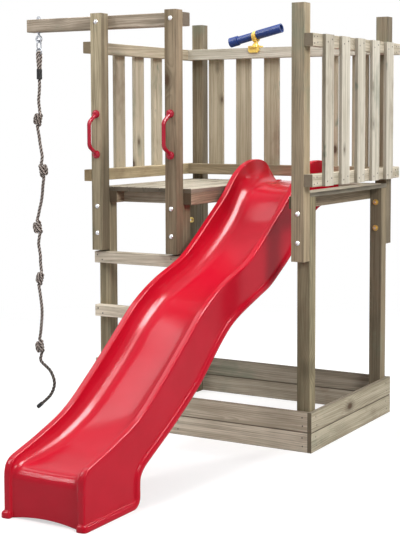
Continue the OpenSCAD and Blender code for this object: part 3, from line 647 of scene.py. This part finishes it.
class Shader:
    """Short way to write the nodes of a material or of the world."""

    def __init__(self, name, owners=bpy.data.materials):
        self.owner = owners.new(name)
        self.owner.use_nodes = True
        self.tree = self.owner.node_tree
        self.tree.nodes.clear()

    def feed(self, socket, value):
        """Links a socket to an output or sets its value."""
        if isinstance(value, bpy.types.NodeSocket):
            self.tree.links.new(value, socket)
        elif socket.type == "RGBA":
            socket.default_value = (*value, 1.0)
        else:
            socket.default_value = value

    def add(self, kind, inputs=(), **settings):
        """A node with its settings and its inputs."""
        node = self.tree.nodes.new(kind)
        for key, value in settings.items():
            setattr(node, key, value)
        for key, value in dict(inputs).items():
            self.feed(node.inputs[key], value)
        return node

    def math(self, operation, *values, clamp=False):
        node = self.add("ShaderNodeMath", dict(enumerate(values)), operation=operation, use_clamp=clamp)
        return node.outputs[0]

    def vector(self, operation, *values):
        node = self.add("ShaderNodeVectorMath", dict(enumerate(values)), operation=operation)
        return node.outputs["Value"] if operation == "LENGTH" else node.outputs[0]

    def split(self, vector):
        return self.add("ShaderNodeSeparateXYZ", {0: vector}).outputs

    def join(self, x, y, z):
        return self.add("ShaderNodeCombineXYZ", {0: x, 1: y, 2: z}).outputs[0]

    def place(self):
        return self.add("ShaderNodeTexCoord").outputs["Object"]

    def carried(self, name, output="Fac"):
        """A value that each object carries."""
        node = self.add("ShaderNodeAttribute", attribute_type="OBJECT", attribute_name=name)
        return node.outputs[output]

    def seen(self):
        """1 for rays that show a surface as it is seen, directly or in a gloss or glass."""
        rays = self.add("ShaderNodeLightPath").outputs
        mirrored = self.math("MAXIMUM", rays["Is Glossy Ray"], rays["Is Transmission Ray"])
        return self.math("MAXIMUM", rays["Is Camera Ray"], mirrored)

    def noise(self, vector, scale, detail=3.0, roughness=0.55):
        inputs = {"Vector": vector, "Scale": scale, "Detail": detail, "Roughness": roughness}
        return self.add("ShaderNodeTexNoise", inputs).outputs[0]

    def step(self, value, low, high):
        """0 at low to 1 at high, smooth between; low may be above high."""
        inputs = {"Value": value, 1: low, 2: high, 3: 0.0, 4: 1.0}
        return self.add("ShaderNodeMapRange", inputs, interpolation_type="SMOOTHSTEP").outputs[0]

    def mix(self, factor, a, b, blend="MIX"):
        """Mix of two colours. A mix node keeps its colours in inputs 6 and 7 and gives output 2."""
        node = self.add("ShaderNodeMix", data_type="RGBA", blend_type=blend)
        for key, value in ((0, factor), (6, a), (7, b)):
            self.feed(node.inputs[key], value)
        return node.outputs[2]

    def tint(self, color, tone, value, low, high, most=1.0):
        """A colour that goes over to a tone, at most by a share, as a value goes from low to high."""
        return self.mix(self.math("MULTIPLY", self.step(value, low, high), most), color, tone)

    def finish(self, color, roughness, height=None, bump=0.3, distance=0.001, **shader):
        """The finished material: colour, roughness, relief and further inputs of the shader."""
        inputs = {"Base Color": color, "Roughness": roughness}
        inputs.update({key.replace("_", " "): value for key, value in shader.items()})
        if height is not None:
            relief = self.add("ShaderNodeBump", {"Height": height, "Strength": bump, "Distance": distance})
            inputs["Normal"] = relief.outputs[0]
        surface = self.add("ShaderNodeBsdfPrincipled", inputs)
        self.add("ShaderNodeOutputMaterial", {0: surface.outputs[0]})
        return self.owner


def dress(piece, material):
    """Gives a piece one material."""
    if not piece.data.materials:
        piece.data.materials.append(material)
    for k in range(len(piece.data.materials)):
        piece.data.materials[k] = material


# Timber
# Pine gone grey-green in the weather, with growth rings, streaks, knots and stains. Each timber has its own
# seed and its own pith, so that no two look alike.
STAIN_GREEN = (0.16, 0.21, 0.15)
STAIN_BROWN = (0.19, 0.125, 0.075)
STAIN_COPPER = (0.075, 0.17, 0.125)
KNOT_BROWN = (0.085, 0.045, 0.024)
RING_WIDTH = 0.0085
# How far a seed moves the patterns
SEED_SHIFT = 3.17
# How far the grain's pale and middle tones lie from the mean colour, and the share left in the dark one
PALE_GAIN, MID_LOSS, DARK_SHARE = 0.36, 0.34, 0.30
# Hues of the middle and dark grain, and of the darkening towards the foot and the painted light and shade on
# the sides
MID_HUE, DARK_HUE, SIDE_LIGHT_AND_FOOT_HUE = (1.0, 0.97, 0.90), (1.0, 0.90, 0.78), (1.0, 0.98, 0.95)
# Knots: how many there are, and the share of places without one, in slats and in other timbers
SLAT_KNOTS, TIMBER_KNOTS = (7.5, 0.25), (4.6, 0.35)
KNOT_SWELL, KNOT_STRETCH = 0.12, 0.55
# Fineness of the streaks and of the patches, across the grain and along it
STREAK_ACROSS, STREAK_ALONG = 52.0, 1.2
PATCH_ACROSS, PATCH_ALONG = 12.0, 3.2
# Distance from a board's edge at which the painted shade of the gap between stacked boards starts and at
# which it is darkest
GAP_SHADE_START, GAP_SHADE_FULL = 0.004, 0.001


def toned(share, tone, hue=WHITE):
    """A share of a colour, shifted in hue."""
    return tuple(share * c * w for c, w in zip(tone, hue))


def knot_distance(s, spot, density, rare):
    """Distance from the nearest knot, and 1 where there is none."""
    cells = s.add("ShaderNodeTexVoronoi", {"Vector": spot, "Scale": density, "Randomness": 1.0})
    chosen = s.math("GREATER_THAN", s.split(cells.outputs["Color"])[0], rare)
    near = s.math("SUBTRACT", 1.0, cells.outputs["Distance"])
    return s.math("SUBTRACT", 1.0, s.math("MULTIPLY", chosen, near))


def late_wood(s, along, wide, deep, shift, chances, knot, swell):
    """Dark half of each growth ring. The pith lies beside the timber and wanders along its length, and the
    rings swell round each knot."""
    wander = s.noise(s.join(along, shift, 0.0), 1.3, 1.0)
    aside = s.math("MULTIPLY_ADD", chances[0], 0.14, -0.07)
    off_wide = s.math("MULTIPLY_ADD", s.math("SUBTRACT", wander, 0.5), 0.10, aside)
    off_deep = s.math("MULTIPLY_ADD", chances[1], 0.05, 0.03)
    far = s.vector("LENGTH", s.join(s.math("ADD", wide, off_wide), s.math("ADD", deep, off_deep), 0.0))
    ring_place = s.math("MULTIPLY_ADD", s.step(knot, 0.30, 0.0), swell, far)
    rings = s.math("FRACT", s.math("DIVIDE", ring_place, RING_WIDTH))
    return s.math("MULTIPLY", s.step(rings, 0.25, 0.85), s.step(rings, 1.0, 0.9))


def stretched(s, along, wide, deep, shift, fine_along, fine_across):
    """Place in a timber, drawn out along its grain."""
    return s.join(s.math("MULTIPLY", along, fine_along), s.math("MULTIPLY_ADD", wide, fine_across, shift),
                  s.math("MULTIPLY_ADD", deep, fine_across, shift))


def stained(s, color, spot, slats):
    """A colour with grey-green and brown clouds and, on slats, copper-green spots."""
    cloud = s.noise(spot, 4.2, 4.0, 0.68)
    color = s.tint(color, STAIN_GREEN, cloud, 0.55, 0.72, 0.42)
    color = s.tint(color, STAIN_BROWN, cloud, 0.42, 0.28, 0.40)
    if slats:
        color = s.tint(color, STAIN_COPPER, s.noise(spot, 10.0, 3.0, 0.6), 0.64, 0.74, 0.55)
    return color


def wood(name, grain, tone, foot=1.0, right=1.0, front=1.0, contrast=1.0, cell=None, painted_gap_shade=False):
    """Timber with its grain along axis 0, 1 or 2. foot is how much of its colour is left at a post's foot;
    right and front scale its colour on those sides, as painted light above 1 and painted shade below 1.
    contrast is
    how strong the grain is. cell is (axis, start, pitch) for a row of slats. painted_gap_shade adds painted
    shade:
    a dark line along the edges of boards that lie on each other."""
    dark = toned(DARK_SHARE, tone, DARK_HUE)
    s = Shader(name)
    place = s.place()
    seed = s.carried("grain_seed")
    local = list(s.split(s.vector("SUBTRACT", place, s.carried("grain_centre", "Vector"))))
    if cell:
        axis, start, pitch = cell
        count = s.math("DIVIDE", s.math("SUBTRACT", s.split(place)[axis], start), pitch)
        local[axis] = s.math("MULTIPLY", s.math("SUBTRACT", s.math("FRACT", count), 0.5), pitch)
        seed = s.math("ADD", seed, s.math("FLOOR", count))
    along = local[grain]
    wide, deep = [local[k] for k in range(3) if k != grain]
    chances = s.split(s.add("ShaderNodeTexWhiteNoise", {"W": seed}, noise_dimensions="1D").outputs["Color"])
    shift = s.math("MULTIPLY", seed, SEED_SHIFT)
    # Knots and rings
    density, rare = SLAT_KNOTS if cell else TIMBER_KNOTS
    spot = s.join(s.math("ADD", wide, shift), s.math("ADD", deep, shift),
                  s.math("MULTIPLY", along, KNOT_STRETCH))
    knot = knot_distance(s, spot, density, rare)
    late = late_wood(s, along, wide, deep, shift, chances, knot, KNOT_SWELL / density)
    # Streaks along the grain and broad patches
    drawn = stretched(s, along, wide, deep, shift, STREAK_ALONG, STREAK_ACROSS)
    streak = s.noise(drawn, 1.0, 5.0, 0.62)
    fine = s.noise(s.vector("MULTIPLY", drawn, (2.6, 3.4, 3.4)), 1.0, 3.0, 0.6)
    broad = s.noise(stretched(s, along, wide, deep, shift, PATCH_ALONG, PATCH_ACROSS), 1.0, 4.0, 0.6)
    amount = s.math("MULTIPLY", s.step(streak, 0.33, 0.67), 0.80)
    amount = s.math("MULTIPLY_ADD", late, 0.36, amount)
    amount = s.math("MULTIPLY_ADD", s.math("SUBTRACT", broad, 0.5), 1.5, amount)
    amount = s.math("MULTIPLY_ADD", s.math("SUBTRACT", chances[2], 0.5), 0.50, amount, clamp=True)
    pale, mid = toned(1 + PALE_GAIN * contrast, tone), toned(1 - MID_LOSS * contrast, tone, MID_HUE)
    color = s.mix(amount, pale, mid)
    color = s.tint(color, dark, fine, 0.54, 0.72, 0.60 * contrast)
    # Stains, the knots' dark surrounds and hearts, and end grain
    color = stained(s, color, spot, bool(cell))
    color = s.tint(color, dark, knot, 0.22, 0.07, 0.6)
    color = s.tint(color, KNOT_BROWN, knot, 0.11, 0.06, 0.9)
    facing = s.split(s.add("ShaderNodeNewGeometry").outputs["Normal"])
    color = s.tint(color, dark, s.math("ABSOLUTE", facing[grain]), 0.6, 0.9, 0.92)
    # Painted shade in the gap where stacked boards meet: a dark line along their top and bottom edges.
    if painted_gap_shade:
        rim = s.math("SUBTRACT", s.carried("half_height"), s.math("ABSOLUTE", local[2]))
        color = s.tint(color, dark, rim, GAP_SHADE_START, GAP_SHADE_FULL, 0.8)
    # Some timbers are darker towards the foot. Their right sides and fronts carry painted light where the
    # factor is above 1 and painted shade where it is below 1.
    for value, left in ((s.step(along, 0.5, -0.5), foot), (s.step(facing[0], 0.6, 0.9), right),
                        (s.step(facing[1], -0.6, -0.9), front)):
        if left != 1:
            color = s.mix(1.0, color, s.mix(value, WHITE, toned(left, SIDE_LIGHT_AND_FOOT_HUE)), "MULTIPLY")
    height = s.math("MULTIPLY_ADD", late, 0.4, streak)
    height = s.math("MULTIPLY_ADD", fine, 0.5, height)
    rough = s.math("MULTIPLY_ADD", streak, 0.16, 0.68)
    return s.finish(color, rough, height, bump=0.6, distance=0.0012, Specular_IOR_Level=0.25)


def slat_cell(node, axis, count):
    """Axis, start and pitch of a row of slats, from the row's box."""
    places = slat_middles(node, axis, count)
    pitch = places[1] - places[0]
    return axis, places[0] - pitch / 2, pitch


# Name start of a timber: axis of its grain, mean colour and, for some, what is left of the colour at the
# foot, then factors for the right side and the front that are painted light above 1 and painted shade below
# 1
TIMBER = {
    "post_upper": (2, (0.25, 0.205, 0.14)),
    "post_upper_a": (2, (0.44, 0.375, 0.255), 0.56, 0.58),
    "post_upper_b": (2, (0.30, 0.236, 0.158), 0.62, 0.98),
    "post_upper_c": (2, (0.295, 0.242, 0.167), 0.9, 1.34),
    "post_upper_d": (2, (0.20, 0.163, 0.112)),
    # The lower posts' dark tones are partly their own colour and partly painted shade under the deck.
    "post_lower": (2, (0.15, 0.125, 0.083)),
    "post_lower_a": (2, (0.36, 0.31, 0.21)),
    "post_lower_b": (2, (0.28, 0.24, 0.16), 1.0, 0.74),
    "post_lower_c": (2, (0.19, 0.165, 0.105), 1.0, 1.38),
    "post_lower_d": (2, (0.14, 0.115, 0.077), 1.0, 1.75),
    "rope_arm": (0, (0.47, 0.395, 0.315)),
    "step": (0, (0.50, 0.44, 0.35)),
    "step_1": (0, (0.57, 0.51, 0.415)),
    # step_2's pale tone is painted light that lifts the shadow the slide casts on it.
    "step_2": (0, (0.85, 0.775, 0.65)),
    "deck_board": (1, (0.40, 0.362, 0.29), 1.0, 0.5),
    "deck_board_rear": (0, (0.50, 0.46, 0.38)),
    "joist": (1, (0.34, 0.27, 0.19)),
    "bearer": (0, (0.44, 0.375, 0.29)),
    "rail_left": (1, (0.47, 0.39, 0.25), 1.0, 1.0, 1.7),
    "rail_left_upper": (1, (0.41, 0.355, 0.26), 1.0, 1.0, 1.6),
    "rail_right": (1, (0.56, 0.50, 0.395)),
    "rail_back": (0, (0.36, 0.295, 0.20)),
    "rail_back_upper": (0, (0.505, 0.475, 0.405)),
    "sand_front": (0, (0.58, 0.515, 0.415)),
    "sand_rear": (0, (0.30, 0.265, 0.21)),
    "sand_rear_lower": (0, (0.36, 0.32, 0.255)),
    "sand_left": (1, (0.38, 0.34, 0.26)),
    "sand_right": (1, (0.45, 0.40, 0.30)),
}
# Row of slats: axis of the row, number of slats, mean colour and what is left of it on the front edges, as
# painted shade
SLATS = {
    "slats_left": (1, SIDE_SLATS, (0.51, 0.455, 0.35), 1.0),
    "slats_right": (1, SIDE_SLATS, (0.63, 0.588, 0.50), 0.5),
    "slats_back": (0, BACK_SLATS, (0.455, 0.40, 0.30), 1.0),
}
# How strong the grain of some timbers is
CONTRAST = {"slats": 0.6, "rail": 0.65, "sand": 0.8, "step": 0.65}
FIRST_SEED, SEED_STEP = 1.0, 7.0


def dress_timber():
    """Gives each timber its kind of wood, its seed and its place."""
    kinds = {}
    for start, kind in TIMBER.items():
        contrast = CONTRAST.get(start.split("_")[0], 1.0)
        # Sandbox boards get painted shade along their edges where they lie on each other.
        kinds[start] = wood(f"timber_{start}", *kind, contrast=contrast, painted_gap_shade=start.startswith("sand"))
    for name, (axis, count, tone, front) in SLATS.items():
        cell = slat_cell(name, axis, count)
        # front darkens the front edges of a row as painted shade.
        kinds[name] = wood(f"timber_{name}", 2, tone, front=front, contrast=CONTRAST["slats"], cell=cell)
    longest_first = sorted(kinds, key=len, reverse=True)
    seed = FIRST_SEED
    for name, piece in sorted(NODES.items()):
        kind = next((k for k in longest_first if name.startswith(k)), None)
        if kind is None:
            continue
        dress(piece, kinds[kind])
        piece["grain_seed"] = seed
        piece["grain_centre"] = [float(v) for v in middle(name)]
        piece["half_height"] = float(side(name, 2, 1) - side(name, 2, 0)) / 2
        seed += SEED_STEP


dress_timber()


# Moulded plastic
# How far inside a skirt its gloss starts to change and has changed
SKIRT_FROM, SKIRT_TO = 0.003, 0.001


def plastic(name, color, shade, roughness, gloss, wave=0.0, skirt=None):
    """Moulded plastic with a faint mottle, duller patches, orange peel and, on large pieces, shallow waves.
    skirt is (middle, half width, gloss) for sides that are less glossy than what lies between them."""
    s = Shader(name)
    place = s.place()
    mottle = s.noise(place, 5.0, 4.0)
    tint = s.mix(s.step(mottle, 0.35, 0.7), color, shade)
    peel = s.noise(place, 300.0, 2.0)
    height = s.math("MULTIPLY_ADD", s.noise(place, 11.0, 2.0, 0.5), wave, s.math("MULTIPLY", peel, 0.03))
    worn = s.noise(place, 17.0, 4.0, 0.6)
    rough = s.math("MULTIPLY_ADD", worn, 0.16, roughness - 0.08)
    if skirt:
        centre, half, dull = skirt
        out = s.math("ABSOLUTE", s.math("SUBTRACT", s.split(place)[0], centre))
        gloss = s.math("MULTIPLY_ADD", s.step(out, half - SKIRT_FROM, half - SKIRT_TO), dull - gloss, gloss)
    return s.finish(tint, rough, height, bump=0.12, distance=0.004, Specular_IOR_Level=gloss)


RED = plastic("red_plastic", (0.43, 0.010, 0.033), (0.395, 0.009, 0.029), 0.17, 0.3)
SLIDE_RED = plastic("slide_red_plastic", (0.53, 0.006, 0.023), (0.49, 0.005, 0.02), 0.17, 0.16, wave=0.7,
                    skirt=(middle("slide")[0], WALL_X / 1000, 0.08))
BLUE = plastic("blue_plastic", (0.017, 0.047, 0.215), (0.013, 0.037, 0.17), 0.27, 0.35)
YELLOW = plastic("yellow_plastic", (0.88, 0.64, 0.15), (0.82, 0.56, 0.11), 0.3, 0.4)


# Metal
def metal(name, bright, dull, roughness):
    """Plated steel with a fine spangle and dull patches."""
    s = Shader(name)
    place = s.place()
    patch = s.noise(place, 60.0, 4.0)
    grain = s.noise(place, 900.0, 2.0)
    color = s.mix(s.step(patch, 0.4, 0.7), bright, dull)
    rough = s.math("MULTIPLY_ADD", patch, 0.2, roughness - 0.1)
    return s.finish(color, rough, grain, bump=0.08, distance=0.0002, Metallic=1.0)


STEEL = metal("zinc_plated_steel", (0.72, 0.73, 0.75), (0.50, 0.51, 0.53), 0.34)
YELLOW_ZINC = metal("yellow_zinc", (0.74, 0.56, 0.20), (0.56, 0.40, 0.14), 0.38)
CHAIN = metal("chain_steel", (0.46, 0.48, 0.52), (0.20, 0.21, 0.235), 0.30)
NAIL = metal("nail_steel", (0.20, 0.18, 0.16), (0.10, 0.085, 0.07), 0.5)


# Glass, sleeves and rope
RIDGE_PITCH = 0.009


def glass_material():
    """Dark coated glass."""
    s = Shader("lens_glass")
    tint = s.mix(s.noise(s.place(), 30.0, 2.0), (0.010, 0.012, 0.020), (0.020, 0.024, 0.036))
    return s.finish(tint, 0.06, Coat_Weight=0.5, Coat_Roughness=0.03)


def sleeve_material():
    """Black sleeve with ridges round it and a little dust."""
    s = Shader("black_sleeve")
    place = s.place()
    ridge = s.math("FRACT", s.math("DIVIDE", s.split(place)[2], RIDGE_PITCH))
    groove = s.math("MULTIPLY", s.step(ridge, 0.0, 0.2), s.step(ridge, 1.0, 0.8))
    dust = s.noise(place, 40.0, 4.0)
    color = s.mix(s.step(dust, 0.45, 0.75), (0.012, 0.012, 0.013), (0.035, 0.034, 0.032))
    rough = s.math("MULTIPLY_ADD", dust, 0.2, 0.42)
    return s.finish(color, rough, groove, bump=0.7, distance=0.0015, Specular_IOR_Level=0.3)


def rope_material():
    """Grey-beige fibre, soiled in places, darker towards the free end, with painted shade in the grooves
    between strands.
    """
    s = Shader("laid_rope")
    place = s.place()
    crown = s.add("ShaderNodeAttribute", attribute_name="crown").outputs["Fac"]
    fibre = s.noise(s.vector("MULTIPLY", place, (260.0, 260.0, 90.0)), 1.0, 3.0, 0.6)
    color = s.mix(s.step(fibre, 0.3, 0.7), (0.47, 0.41, 0.375), (0.34, 0.288, 0.256))
    color = s.tint(color, (0.20, 0.155, 0.13), s.noise(place, 14.0, 3.0), 0.45, 0.7, 0.4)
    # Darker towards the free end.
    color = s.tint(color, (0.045, 0.035, 0.028), s.split(place)[2], 0.36, 0.24, 0.6)
    # Painted shade in the grooves between the strands.
    color = s.tint(color, (0.018, 0.013, 0.011), crown, 0.75, 0.45)
    height = s.math("MULTIPLY_ADD", fibre, 0.15, crown)
    return s.finish(color, 0.85, height, bump=0.6, distance=0.0012, Specular_IOR_Level=0.2)


dress(rope, rope_material())
dress(slide, SLIDE_RED)
dress(nails, NAIL)
dress(lenses, glass_material())
FINISHES = {
    "slide": SLIDE_RED, "grip_a": RED, "grip_b": RED,
    "scope_tube": BLUE, "scope_base": YELLOW, "scope_yoke": YELLOW, "scope_band": YELLOW,
    "rope_hanger": CHAIN, "rope_link": CHAIN, "rope_ring": CHAIN, "rope_sleeves": sleeve_material(),
    "coach_bolts": STEEL, "bolt_nuts": YELLOW_ZINC,
}
for node_name, finish in FINISHES.items():
    dress(NODES[node_name], finish)


# Floor and world
FLOOR_HALF = 40.0
# The floor is itself up to the first distance and plain white from the second on
FLOOR_NEAR, FLOOR_FAR = 1.9, 4.6
# What is added where the floor is seen, and how bright its far part is as a light
FLOOR_LIFT, FAR_LIGHT = 0.56, 0.4
# The sky's strength just below the horizon, at SKY_START, and overhead
SKY_TINT = (0.95, 0.97, 1.0)
SKY_START, SKY_LOW, SKY_HIGH = -0.1, 0.26, 0.43


def floor_material():
    """Pale floor, seen white by the camera with the object's shadow on it, and plain white far away."""
    s = Shader("floor")
    place = s.place()
    pale = s.mix(s.noise(place, 30.0, 3.0), (0.50, 0.50, 0.50), (0.53, 0.53, 0.53))
    seen = s.seen()
    diffuse = s.add("ShaderNodeBsdfDiffuse", {0: pale})
    lift = s.add("ShaderNodeEmission", {0: WHITE, 1: s.math("MULTIPLY", seen, FLOOR_LIFT)})
    near = s.add("ShaderNodeAddShader", {0: diffuse.outputs[0], 1: lift.outputs[0]})
    glow = s.math("MULTIPLY_ADD", seen, 1 - FAR_LIGHT, FAR_LIGHT)
    white = s.add("ShaderNodeEmission", {0: WHITE, 1: glow})
    far = s.step(s.vector("LENGTH", place), FLOOR_NEAR, FLOOR_FAR)
    mixed = s.add("ShaderNodeMixShader", {0: far, 1: near.outputs[0], 2: white.outputs[0]})
    s.add("ShaderNodeOutputMaterial", {0: mixed.outputs[0]})
    return s.owner


def make_floor():
    """Wide floor under the part. It belongs to the scene alone."""
    corners = [(x * FLOOR_HALF, y * FLOOR_HALF, 0) for x, y in ((-1, -1), (1, -1), (1, 1), (-1, 1))]
    floor = make_object("floor", corners, [(0, 1, 2, 3)])
    dress(floor, floor_material())


def make_world():
    """Soft sky, brighter overhead; white where it is seen."""
    s = Shader("studio", bpy.data.worlds)
    bpy.context.scene.world = s.owner
    up = s.split(s.add("ShaderNodeTexCoord").outputs["Generated"])[2]
    rise = s.add("ShaderNodeMapRange", {0: up, 1: SKY_START, 2: 1.0, 3: SKY_LOW, 4: SKY_HIGH})
    soft = s.add("ShaderNodeBackground", {0: SKY_TINT, 1: rise.outputs[0]})
    white = s.add("ShaderNodeBackground", {0: WHITE})
    mixed = s.add("ShaderNodeMixShader", {0: s.seen(), 1: soft.outputs[0], 2: white.outputs[0]})
    s.add("ShaderNodeOutputWorld", {0: mixed.outputs[0]})


make_floor()
make_world()


# Lamps
def make_lamp(name, place, aim, size, power, length=None, lie=(0.0, 1.0, 0.0), color=WHITE, gives="both"):
    """Round soft lamp, or a long one that lies along a direction. It gives light, highlights or both."""
    data = bpy.data.lights.new(name, "AREA")
    data.shape = "DISK" if length is None else "RECTANGLE"
    data.size = size
    if length is not None:
        data.size_y = length
    data.energy = power
    data.color = color
    lamp = bpy.data.objects.new(name, data)
    lamp.visible_diffuse = gives != "highlights"
    lamp.visible_glossy = gives != "light"
    back = Vector(np.array(place) - np.array(aim)).normalized()
    along = (Vector(lie) - back * back.dot(Vector(lie))).normalized()
    turn = Matrix((along.cross(back), along, back)).transposed()
    lamp.matrix_world = Matrix.Translation(at(*place)) @ turn.to_4x4()
    bpy.context.scene.collection.objects.link(lamp)


make_lamp("key", (6.8, -2.6, 5.4), (0.7, 0.0, 1.0), 3.0, 390, color=(1.0, 0.975, 0.94))
make_lamp("top", (0.40, 0.5, 4.9), (0.40, -0.6, 0.6), 0.65, 130, length=4.0, gives="light")
make_lamp("sheen", (2.4, 0.45, 4.9), (0.65, -0.5, 0.6), 1.8, 370, length=1.8, gives="highlights")
make_lamp("gleam", (1.95, -0.7, 5.0), (0.65, -0.7, 0.6), 1.0, 95, length=2.4, gives="highlights")
make_lamp("left", (-1.9, -0.25, 4.9), (0.78, -0.6, 0.65), 1.8, 34)
make_lamp("front", (-2.6, -3.4, 4.2), (0.6, -1.2, 0.4), 0.42, 82, length=3.0, lie=(0.0, 0.82, 0.57))
make_lamp("rim", (4.4, 4.9, 3.9), (0.8, -0.9, 0.2), 0.8, 60)
make_lamp("back", (1.6, 5.6, 4.6), (0.8, -0.3, 0.8), 0.9, 60)

bpy.context.scene.view_settings.view_transform = "Standard"
